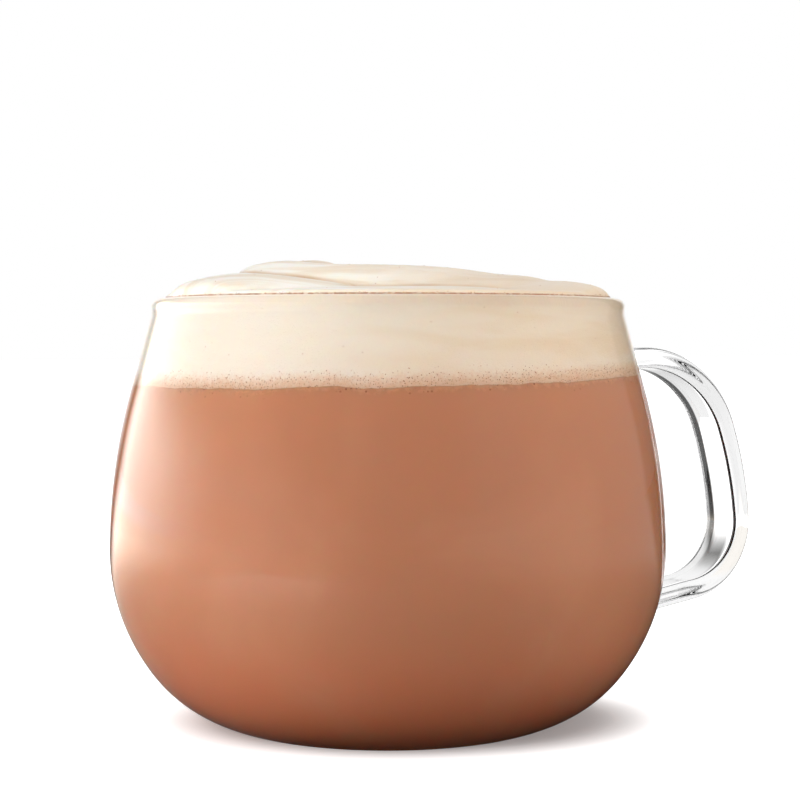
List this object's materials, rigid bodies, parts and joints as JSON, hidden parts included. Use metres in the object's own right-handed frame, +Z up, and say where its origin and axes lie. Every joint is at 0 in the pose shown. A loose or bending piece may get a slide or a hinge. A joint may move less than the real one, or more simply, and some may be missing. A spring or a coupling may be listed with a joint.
{
  "type": "glass mug of caffe mocha",
  "caption": "Round-bellied clear glass mug with a strap handle, filled with caffe mocha under a layer and a soft folded heap of milk foam.",
  "frame": {"origin": "centre of the flat foot that the mug stands on", "axes": "+Z up the mug's axis, towards the lip; +X from the mug's axis towards the handle"},
  "size_m": [0.1312, 0.104, 0.0872],
  "materials": {
    "clear_glass": "clear, polished, fire-rounded at the lip",
    "mocha_drink": "opaque milky brown liquid, seen through the glass",
    "foam": "cream, soft sheen, fine bubbles"
  },
  "bodies": {
    "root": {"glass_mug": "clear_glass", "mocha": "mocha_drink", "milk_foam": "foam"}
  },
  "joints": []
}
